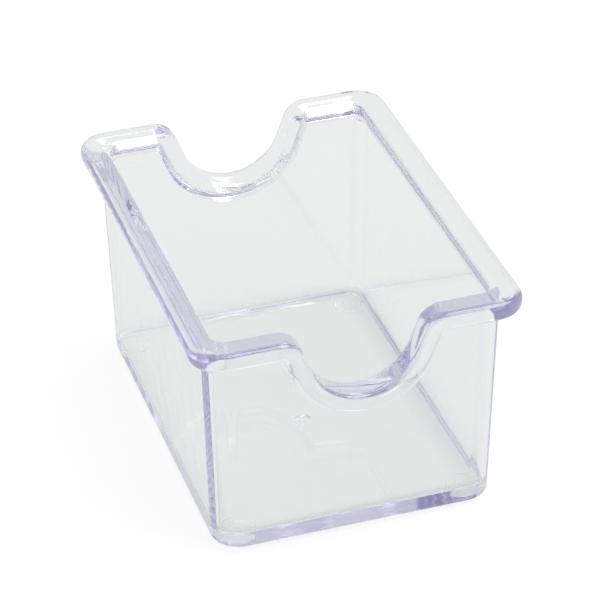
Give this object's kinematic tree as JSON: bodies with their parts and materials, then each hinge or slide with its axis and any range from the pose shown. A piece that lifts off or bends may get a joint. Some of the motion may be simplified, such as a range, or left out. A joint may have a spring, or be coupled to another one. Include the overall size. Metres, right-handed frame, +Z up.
{
  "type": "sugar packet holder",
  "caption": "Clear open rectangular tray with a thick rounded rim that dips into a finger scoop at each end, standing on clear feet, for upright sugar packets.",
  "frame": {"origin": "centre of the footprint on the table that the feet stand on", "axes": "+Z up, +Y along the length towards the back end, +X to the right as seen from the front"},
  "size_m": [0.07, 0.095, 0.052],
  "materials": {
    "clear_plastic": "clear, polished, faint violet tint",
    "clear_bumper": "clear, soft, untinted"
  },
  "bodies": {
    "root": {"tray": "clear_plastic", "foot_front_left": "clear_bumper", "foot_front_right": "clear_bumper", "foot_back_left": "clear_bumper", "foot_back_right": "clear_bumper"}
  },
  "joints": []
}
